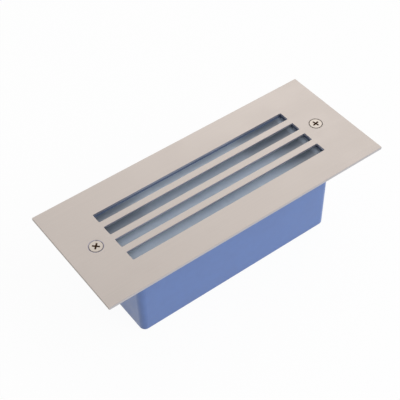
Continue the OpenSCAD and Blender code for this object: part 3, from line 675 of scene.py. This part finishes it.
M5_PITCH = 0.8
print("a pitch of M5 thread has", len(threaded(2.5, 0.42, M5_PITCH, 0, M5_PITCH)), "rows")

# %% [markdown]
# The cover screws are M5 by 16 mm. Their heads lie flush with the plate, and each was left at its
# own angle when it was tightened. The recess, and the rim of the head where its groove is, are
# darkened with painted shade. Tip, thread and head are one loft, so no joint shows between them.

# %% Cover screws
RECESS_REACH, RECESS_TOP, RECESS_LOW = 3.1, PLATE_TOP - 0.02, PLATE_TOP - 2.44
HEAD_RIM, HEAD_LOW = 4.7, PLATE_TOP - 0.9


def cover_screw(name):
    """The whole screw with the top of its head at height 0."""
    shank = threaded(2.5, 0.42, M5_PITCH, -15.4, -2.9, steps=64)
    tip = turned([(1.5, -16), (2.0, -15.6)])
    head = turned(
        [(2.45, -2.6), (4.55, -0.5), (4.78, -0.36), (4.84, -0.24), (4.8, -0.11), (4.68, -0.03),
         (4.5, 0)],
        64,
    )
    made = solid(name, [loft(np.concatenate([tip, shank, head]))])
    for wedge in cross_cutters(5.6, 1.35, 2.4, 0):
        carve(made, [wedge])
    return made


for side, name, turn in ((-1, "left", 46), (1, "right", 10)):
    screw = cover_screw(name + "_countersunk_screw")
    place = Matrix.Translation((side * SCREW_X * MM, 0, PLATE_TOP * MM))
    screw.data.transform(place @ Matrix.Rotation(math.radians(turn), 4, "Z"))
    dress(screw, name + "_cover_screw", screw_steel, [name + "_cover_screw"])
    # Painted shade in the cross recess.
    tint(
        screw, recess_shade,
        lambda x, y, z: (from_screw(x, y, side) < RECESS_REACH)
        & (z > RECESS_LOW) & (z < RECESS_TOP),
    )
    # Painted shade on the rim of the head, in its groove.
    tint(
        screw, groove_shade,
        lambda x, y, z: (from_screw(x, y, side) > HEAD_RIM)
        & (z > HEAD_LOW) & in_shaded_groove(x, y, side),
    )

# %% [markdown]
# ## Lamp unit
# The housing is a deep tub with a wide rim, cast in one piece, and is lofted like the box.
# Four pillars inside carry the gear tray, and are joined on with a Boolean. The holes are for
# the cable gland in the floor and for the eight screws of the frame.

# %% Housing
TUB = (163.6, 52.6, 5)
TUB_INSIDE = (158.6, 47.6, 2.5)
RIM = (181, 68, 5)
POCKET = (177, 58, 4)
LENS = (175, 56, 3)
WINDOW = (171, 52, 2)
TUB_LOW, TUB_FLOOR, RIM_LOW, SEAT_LOW, LENS_LOW, LENS_TOP = 33, 36, 64, 66, 67, 72
tub = [
    *bend((*TUB, TUB_LOW), 1.5, -90, 0),
    *bend((*TUB, RIM_LOW), 0.4, 180, 90),
    *bend((*RIM, RIM_LOW), 0.5, -90, 0),
    *bend((*RIM, LENS_TOP), 0.4, 0, 90),
    *bend((*POCKET, LENS_TOP), 0.3, 90, 180),
    *bend((*POCKET, SEAT_LOW), 0.2, 0, -90),
    *bend((*TUB_INSIDE, SEAT_LOW), 0.2, 90, 180),
    *bend((*TUB_INSIDE, TUB_FLOOR), 1, 0, -90),
]
housing = solid("cast_housing", [loft(rings_of(tub))])
pillar_places = [(x, y) for x in (-60, 60) for y in (-20.5, 20.5)]
pillar = loft(turned([(3.5, 35), (3.5, 54)], 32))
carve(housing, [at(pillar, x, y) for x, y in pillar_places], "UNION")
FRAME_SCREWS = [(x, y) for x in (-66, -22, 22, 66) for y in (-31.5, 31.5)]
GLAND_X = 63.5
holes = [at(loft(turned([(8.05, 32), (8.05, 37)])), GLAND_X)]
frame_hole = loft(turned([(1.25, 67.5), (1.25, 73)], 16))
holes += [at(frame_hole, x, y) for x, y in FRAME_SCREWS]
carve(housing, holes)
dress(housing, "lamp_unit", cast_aluminium, ["lamp_housing"])

# %% [markdown]
# A rubber seat, the glass and a painted frame lie on each other in the rim. The seat is a
# closed ring with a step, lofted round. The frame is a sheet with a window and eight holes,
# so it is made as the plate is.

# %% Seat and frame of the lens
seat = [
    (*POCKET, SEAT_LOW), (*POCKET, LENS_TOP), *bend((*LENS, LENS_TOP), 0.15, 90, 180),
    (*LENS, LENS_LOW), (*TUB_INSIDE, LENS_LOW), (*TUB_INSIDE, SEAT_LOW),
]
lens_gasket = solid("lens_seat", [loft(rings_of(seat), "join")])
dress(lens_gasket, "lamp_unit", black_rubber, ["lens_gasket"])

frame_out = rings_of(bend((*RIM, LENS_TOP), 0.15, -90, 0) + bend((*RIM, BOX_TOP), 0.3, 0, 90))
frame_in = rings_of(bend((*WINDOW, BOX_TOP), 0.3, 90, 180) + [(*WINDOW, LENS_TOP)])
frame_sink = turned([(2.4, BOX_TOP), (1.3, 72.4), (1.3, LENS_TOP)], 24)
frame_walls = [frame_out, frame_in, *(shifted(frame_sink, x, y) for x, y in FRAME_SCREWS)]
lens_frame = solid("painted_frame", sheet(frame_walls))
dress(lens_frame, "lamp_unit", slate_paint, ["lens_frame"])

# %% [markdown]
# The glass is 5 mm thick. Its top is polished and its underside is frosted, so that the LEDs
# under it blur. One rough glass with a clear coat gives both in a single closed solid. In the
# photograph it looks darker towards the ends of the slots, and not alike under each of them.
# A few grey levels along X, one row of them for each slot or two, paint that shade into the
# glass's colour, and the light middle under the far slot is a painted reflection. They lie on the
# glass itself, so they stay there in every view.

# %% Curves of painted shade along the glass
HALF_GLASS = (0.09, 0.03)
BLUR = 0.002


def ramp(tree, value, low, high, stops):
    """A curve of grey levels over a coordinate that runs from low to high, all in metres."""
    curve = tree.nodes.new("ShaderNodeValToRGB")
    points = curve.color_ramp.elements
    for number, (place, grey) in enumerate(stops):
        share = (place - low) / (high - low)
        point = points[number] if number < 2 else points.new(share)
        point.position, point.color = share, (grey, grey, grey, 1)
    tree.links.new(remap(tree, value, low, high, 0.0, 1.0), curve.inputs["Fac"])
    return curve.outputs["Color"]


def paint_shade_at_ends(material, dark, rows):
    """Paints shade on a finish towards both ends: each row's curve along X holds from its y
    onwards.
    """
    tree = material.node_tree
    shader = tree.nodes["Principled BSDF"]
    plain = shader.inputs["Base Color"].links[0].from_socket
    place = tree.nodes.new("ShaderNodeTexCoord")
    axes = tree.nodes.new("ShaderNodeSeparateXYZ")
    tree.links.new(place.outputs["Object"], axes.inputs["Vector"])
    shade = None
    for start, stops in rows:
        curve = ramp(tree, axes.outputs["X"], -HALF_GLASS[0], HALF_GLASS[0], stops)
        if shade is not None:
            step = [(start - BLUR, 0.0), (start + BLUR, 1.0)]
            beyond = ramp(tree, axes.outputs["Y"], -HALF_GLASS[1], HALF_GLASS[1], step)
            curve = mixed(tree, beyond, shade, curve)
        shade = curve
    tree.links.new(mixed(tree, shade, linear(*dark), plain), shader.inputs["Base Color"])


print("the rows of the glass pass into each other over", round(2 * BLUR / MM), "mm")

# %% [markdown]
# The curves of painted shade start at the left end. Under the two near slots the glass is light
# nearly to its right end, and under the two far ones it is dark at both ends. Under the farthest
# slot its light middle is a painted reflection. Each pair of numbers is a place along X in metres
# and a grey level.

# %% Glass
frosted_glass = finish(
    "frosted_glass", (204, 221, 242), (218, 233, 250), (0.38, 0.48), (300, 300, 300), 0.004,
    Transmission_Weight=0.5, IOR=1.5, Coat_Weight=1.0, Coat_Roughness=0.06,
)
# Grey levels of painted shade along X, one curve for each row of slots; the far row's light middle
# is a painted reflection.
NEAR_SLOTS_SHADE = [
    (-0.085, 0.94), (0.038, 0.96), (0.052, 0.85), (0.062, 0.55), (0.071, 0.32), (0.079, 0.34),
    (0.083, 1.0),
]
THIRD_SLOT_SHADE = [
    (-0.085, 0.38), (-0.056, 0.5), (-0.046, 0.7), (-0.03, 0.74), (0.036, 0.72), (0.046, 0.42),
    (0.072, 0.3), (0.079, 0.36), (0.083, 1.0),
]
FAR_SLOT_SHADE_AND_REFLECTION = [
    (-0.085, 0.4), (-0.062, 0.58), (-0.05, 0.85), (-0.042, 1.0), (0.036, 1.0), (0.048, 0.62),
    (0.06, 0.46), (0.079, 0.4), (0.083, 1.0),
]
glass_shade_rows = [(-0.03, NEAR_SLOTS_SHADE), (0.0, THIRD_SLOT_SHADE), (0.0145, FAR_SLOT_SHADE_AND_REFLECTION)]
# Painted shade towards the glass's ends, and a painted reflection in the middle under the far
# slot.
paint_shade_at_ends(frosted_glass, (52, 62, 80), glass_shade_rows)
glass = [*bend((*LENS, LENS_LOW), 0.4, -90, 0), *bend((*LENS, LENS_TOP), 0.4, 0, 90)]
glass_lens = solid("lens_glass", [loft(rings_of(glass))])
dress(glass_lens, "lamp_unit", frosted_glass, ["glass_lens"])

# %% [markdown]
# ## Small screws
# Nineteen small screws hold the frame, the tray, the board, the driver, the terminal block
# and the earth tag. One of each kind is turned, threaded and given its cross recess, and then
# copied to its places, each copy turned by another angle as hand-driven screws are.

# %% Small screws
GOLDEN_ANGLE = math.radians(137.5)
SMALL_PITCH = 0.5
PAN_WIDTH, SMALL_PAN_WIDTH = 5.5, 4.7


def repeated(made, places):
    """The same mesh once at each place in millimetres, turned by the golden angle each time."""
    work = bmesh.new()
    for number, place in enumerate(places):
        work.from_mesh(made.data)
        work.verts.ensure_lookup_table()
        added = work.verts[len(work.verts) - len(made.data.vertices):]
        turn = Matrix.Rotation(number * GOLDEN_ANGLE, 4, "Z")
        spot = Matrix.Translation(Vector(place) * MM) @ turn
        bmesh.ops.transform(work, matrix=spot, verts=added)
    work.to_mesh(made.data)
    work.free()
    return made


def small_screw(name, diameter, length, head, across, places):
    """Screws with a head profile over a thread that starts under height 0."""
    r = diameter / 2
    tip = turned([(r * 0.6, -length), (r * 0.8, -length + 0.2)], 24)
    thread_top = min(-0.3, head[0][1] - 0.2)
    shank = threaded(r, r * 0.17, SMALL_PITCH, 0.4 - length, thread_top, 24, 4)
    made = solid(name, [loft(np.concatenate([tip, shank, turned(head, 24)]))])
    for wedge in cross_cutters(across, 0.6, 1.0, head[-1][1]):
        carve(made, [wedge])
    return repeated(made, places)


pan = [(2.6, 0), (2.72, 0.1), (2.68, 0.3), (2.42, 0.85), (2.1, 1.3), (1.8, 1.52), (1.4, 1.6)]
sunk = [(1.22, -1.1), (2.2, -0.14), (2.26, -0.06), (2.2, 0), (1.9, 0)]
small_pan = [(r * SMALL_PAN_WIDTH / PAN_WIDTH, z) for r, z in pan]
SCREW_KINDS = [
    (
        "frame_fixings", "frame_screws", 2.5, 6, sunk, 2.6,
        [(x, y, BOX_TOP) for x, y in FRAME_SCREWS],
    ),
    ("tray_fixings", "tray_screws", 3, 8, pan, 2.6, [(x, y, 56) for x, y in pillar_places]),
    ("board_fixings", "board_screws", 3, 6, pan, 2.6, [(x, 0, 59.1) for x in (-62, 0, 62)]),
    ("driver_fixings", "driver_screws", 3, 4, pan, 2.6, [(x, 0, 38) for x in (-71.5, 31.5)]),
    ("block_fixing", "block_screw", 2.5, 10, small_pan, 2.4, [(44, 4, 44)]),
    ("earth_fixing", "earth_screw", 3, 2.8, pan, 2.6, [(45, 17.9, 36.8)]),
]
for name, node, diameter, length, head, across, places in SCREW_KINDS:
    screws = small_screw(name, diameter, length, head, across, places)
    dress(screws, "lamp_unit", zinc_plate, [node])

# %% [markdown]
# ## Pieces that keep their CAD shape
# The parts behind the glass are plates, mouldings and turned parts, whose CAD shape is right
# but whose edges are knife sharp. A copy of each is cleaned: points that lie on each other
# are merged, and triangles in one plane are joined. A bevel then rounds what is left. The
# LEDs are white cases with a yellow face, so their upper faces get a second finish.

# %% Softened copies
FLAT, CREASE = math.radians(0.5), math.radians(35)


def softened(node, name, body, material, edge):
    """A copy of a CAD node with its edges rounded by that many millimetres."""
    work = bmesh.new()
    work.from_mesh(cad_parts[node].data)
    bmesh.ops.remove_doubles(work, verts=work.verts, dist=MERGE)
    bmesh.ops.dissolve_limit(work, angle_limit=FLAT, verts=work.verts, edges=work.edges)
    mesh = bpy.data.meshes.new(name)
    work.to_mesh(mesh)
    work.free()
    made = placed(name, mesh)
    soft = made.modifiers.new("soft edges", "BEVEL")
    soft.width, soft.segments, soft.angle_limit = edge * MM, 2, CREASE
    return dress(made, body, material, [node])


PLAIN_PIECES = [
    ("gear_tray", "folded_tray", tray_aluminium, "tray_aluminium", 0.2),
    ("thermal_pad", "heat_pad", pad_silicone, "pad_silicone", 0.08),
    ("led_board", "circuit_board", board_white, "board_white", 0.08),
    ("led_chips", "light_chips", white_plastic, "led_phosphor", 0.08),
    ("board_connector", "board_socket", white_plastic, "white_plastic", 0.2),
    ("reflector", "light_dish", white_plastic, "white_plastic", 0.15),
    ("led_driver", "driver_case", white_plastic, "white_plastic", 0.5),
    ("terminal_block", "clamp_block", white_plastic, "white_plastic", 0.25),
    ("terminal_sleeves", "clamp_sleeves", brass, "brass", 0.12),
    ("terminal_screws", "clamp_screws", brass, "brass", 0.1),
    ("earth_tag", "ring_tag", zinc_plate, "zinc_plate", 0.1),
    ("gland_body", "cable_gland", black_plastic, "black_plastic", 0.3),
    ("gland_washer", "gland_gasket", black_rubber, "black_rubber", 0.2),
    ("gland_seal", "gland_rubber", black_rubber, "black_rubber", 0.4),
    ("gland_nut", "dome_nut", black_plastic, "black_plastic", 0.5),
    ("gland_locknut", "hexagon_nut", black_plastic, "black_plastic", 0.35),
]
PHOSPHOR_LOW, PHOSPHOR_HIGH = 59.3, 59.5
inner_pieces = {}
for node, name, material, slot, edge in PLAIN_PIECES:
    inner_pieces[name] = softened(node, name, "lamp_unit", material, edge)
tint(
    inner_pieces["light_chips"], led_phosphor,
    lambda x, y, z: (z > PHOSPHOR_LOW) & (z < PHOSPHOR_HIGH),
)

# %% [markdown]
# ## Leads
# Five short leads join the driver, the terminals, the board and the earth tag. Each is a
# round tube carried along a Bezier curve between its two ends, which are the CAD's ends. A
# curve object with a round bevel would look the same. Rings are chosen because they close
# and join as those of every other piece do.

# %% A lead
STEEP = 6


def lead(start, leave, arrive, end, radius=0.8, rings=32, steps=16):
    """A tube round the curve u^3 p0 + 3 u^2 t p1 + 3 u t^2 p2 + t^3 p3, where u = 1 - t.

    Each ring is the centre plus radius times (side cos k + up sin k), square to the slope.
    Where the lead climbs steeply, side is worked out from Y and not from Z."""
    p = np.array([start, np.add(start, leave), np.add(end, arrive), end], float)
    t = np.linspace(0, 1, rings)[:, None]
    u = 1 - t
    middle = u**3 * p[0] + 3 * u**2 * t * p[1] + 3 * u * t**2 * p[2] + t**3 * p[3]
    slope = u**2 * (p[1] - p[0]) + 2 * u * t * (p[2] - p[1]) + t**2 * (p[3] - p[2])
    slope /= np.linalg.norm(slope, axis=1)[:, None]
    climbs = abs(start[2] - end[2]) > STEEP
    flat = np.array([0, 1, 0] if climbs else [0, 0, 1])
    side = np.cross(flat, slope)
    side /= np.linalg.norm(side, axis=1)[:, None]
    up = np.cross(slope, side)
    k = np.linspace(0, 2 * math.pi, steps, endpoint=False)[:, None]
    ring = np.cos(k) * side[:, None] + np.sin(k) * up[:, None]
    return loft(middle[:, None] + radius * ring)


print("a lead has", len(lead((0, 0, 0), (4, 0, 0), (-4, 0, 0), (10, 2, 0))[0]), "points")

# %% [markdown]
# Each pair of leads is one piece with two colours of insulation, and the earth lead is
# another. The ends stop on the terminals, the driver, the board and the earth tag.

# %% Leads
supply = [
    lead((28, -3, 45), (4, 0, 0), (-4, 0, 0), (37.5, -8, 41.5)),
    lead((28, 3, 45), (4, 0, 0), (-4, 0, 0), (37.5, 0, 41.5)),
]
supply_leads = solid("supply_leads", supply)
dress(supply_leads, "lamp_unit", lead_brown, ["live_and_neutral_leads"], sharp=60)
tint(supply_leads, lead_blue, lambda x, y, z: y > -1)
board_leads = solid(
    "board_leads",
    [lead((-68, 3 * s, 45), (-10, 0, 0), (-5, 0, 0), (-72, 2.25 * s, 60.1)) for s in (-1, 1)],
)
dress(board_leads, "lamp_unit", lead_red, ["led_leads"], sharp=60)
tint(board_leads, black_plastic, lambda x, y, z: y < 0)
ground_lead = solid(
    "ground_lead", [lead((37.5, 8, 41.5), (-4, 0, 0), (-4, 0, 0), (36.8, 17.9, 37.3))]
)
dress(ground_lead, "lamp_unit", lead_green, ["earth_lead"], sharp=60)

# %% [markdown]
# ## Camera, floor and light
# The camera stands where the photograph was taken, worked out from the four corners of the
# plate. It could be placed by eye, but a place worked out keeps the proportions right.

# %% Camera
def look(camera, place, forward, roll):
    """Turns the camera along forward, with its upright leaning by some degrees to the right."""
    ahead = Vector(forward).normalized()
    right = ahead.cross(Vector((0, 0, 1))).normalized()
    up = right.cross(ahead)
    a = math.radians(roll)
    up, right = up * math.cos(a) + right * math.sin(a), right * math.cos(a) - up * math.sin(a)
    axes = Matrix((right, up, -ahead)).transposed().to_4x4()
    camera.matrix_world = Matrix.Translation(place) @ axes


SENSOR, FOCAL_LENGTH = 36, 89.02
EYE = (-0.292017, -0.392254, 0.587693)
AHEAD, ROLL = (0.39484, 0.550932, -0.735238), 1.6558
camera = placed("camera", bpy.data.cameras.new("camera"))
bpy.context.scene.camera = camera
camera.data.sensor_width, camera.data.lens = SENSOR, FOCAL_LENGTH
look(camera, EYE, AHEAD, ROLL)
print("camera at", [round(v, 3) for v in camera.matrix_world.translation])

# %% [markdown]
# The sky lights the whole object softly, more from the right than from the left, as a window
# does. The rays that only show the background see it white instead, and a little darker
# overhead, so that the plate mirrors something when it is seen from above.

# %% Sky
BESIDE = (-1.0, 1.0, 0.14, 1.14)
OVERHEAD = (0.74, 0.9, 1.0, 0.57)


def background_rays(tree):
    """1 for the rays that show the background, seen straight, mirrored or through glass."""
    path = tree.nodes.new("ShaderNodeLightPath")
    largest = path.outputs["Is Camera Ray"]
    for kind in ("Is Glossy Ray", "Is Transmission Ray"):
        largest = joined(tree, "MAXIMUM", largest, path.outputs[kind])
    return largest


world = bpy.data.worlds.new("sky")
bpy.context.scene.world = world
world.use_nodes = True
sky = world.node_tree
sky.nodes["Background"].inputs["Color"].default_value = (1, 1, 1, 1)
direction = sky.nodes.new("ShaderNodeTexCoord")
parts = sky.nodes.new("ShaderNodeSeparateXYZ")
level = sky.nodes.new("ShaderNodeMapRange")
sky.links.new(direction.outputs["Generated"], parts.inputs["Vector"])
sky.links.new(background_rays(sky), level.inputs["Value"])
sky.links.new(remap(sky, parts.outputs["X"], *BESIDE), level.inputs["To Min"])
sky.links.new(remap(sky, parts.outputs["Z"], *OVERHEAD), level.inputs["To Max"])
sky.links.new(level.outputs["Result"], sky.nodes["Background"].inputs["Strength"])
print("the sky's light runs from", BESIDE[2], "on the left to", BESIDE[3], "on the right")

# %% [markdown]
# Two soft lamps add a little shape: one in front on the right, a weak one behind. Neither is
# strong, so that colours render about as they are written. The front one isn't mirrored,
# because the plate would turn white where it faces that lamp.

# %% Lamps
MIDDLE, LAMP_SIZE = Vector((0, 0, 0.05)), 0.9


def soft_lamp(name, place, power, mirrored=True):
    """A square lamp that faces the middle of the object."""
    lamp = placed(name, bpy.data.lights.new(name, "AREA"))
    lamp.data.size, lamp.data.energy = LAMP_SIZE, power
    lamp.location = place
    lamp.rotation_euler = (MIDDLE - Vector(place)).to_track_quat("-Z", "Y").to_euler()
    lamp.visible_glossy = mirrored
    print("lamp", name, "of", power, "W")


soft_lamp("key", (0.5, -0.9, 1.1), 7, mirrored=False)
soft_lamp("back", (0.9, 0.9, 0.9), 0.8)

# %% [markdown]
# The floor is one large square just under the box. Where it only shows the background it
# glows nearly white, and the rest of its colour is lit, which keeps the object's shadow.

# %% Floor
FLOOR_REACH, FLOOR_DROP, FLOOR_GLOW = 4.0, 0.0003, 0.95
floor_mesh = bpy.data.meshes.new("floor")
corners = np.array([[-1, -1, 0], [1, -1, 0], [1, 1, 0], [-1, 1, 0]]) * FLOOR_REACH
corners[:, 2] = -FLOOR_DROP
floor_mesh.from_pydata(corners.tolist(), [], [(0, 1, 2, 3)])
floor = placed("floor", floor_mesh)
pale = bpy.data.materials.new("pale_floor")
pale.use_nodes = True
tree = pale.node_tree
diffuse = tree.nodes["Principled BSDF"]
diffuse.inputs["Base Color"].default_value = (0.92, 0.92, 0.92, 1)
diffuse.inputs["Roughness"].default_value = 0.9
diffuse.inputs["Specular IOR Level"].default_value = 0.0
glow = tree.nodes.new("ShaderNodeEmission")
glow.inputs["Color"].default_value = (1, 1, 1, 1)
blend = tree.nodes.new("ShaderNodeMixShader")
glowing = remap(tree, background_rays(tree), 0.0, 1.0, 0.0, FLOOR_GLOW)
tree.links.new(glowing, blend.inputs["Fac"])
tree.links.new(diffuse.outputs["BSDF"], blend.inputs[1])
tree.links.new(glow.outputs["Emission"], blend.inputs[2])
tree.links.new(blend.outputs["Shader"], tree.nodes["Material Output"].inputs["Surface"])
floor_mesh.materials.append(pale)
bpy.context.scene.view_settings.view_transform = "Standard"
print("the floor is", 2 * FLOOR_REACH, "m wide")
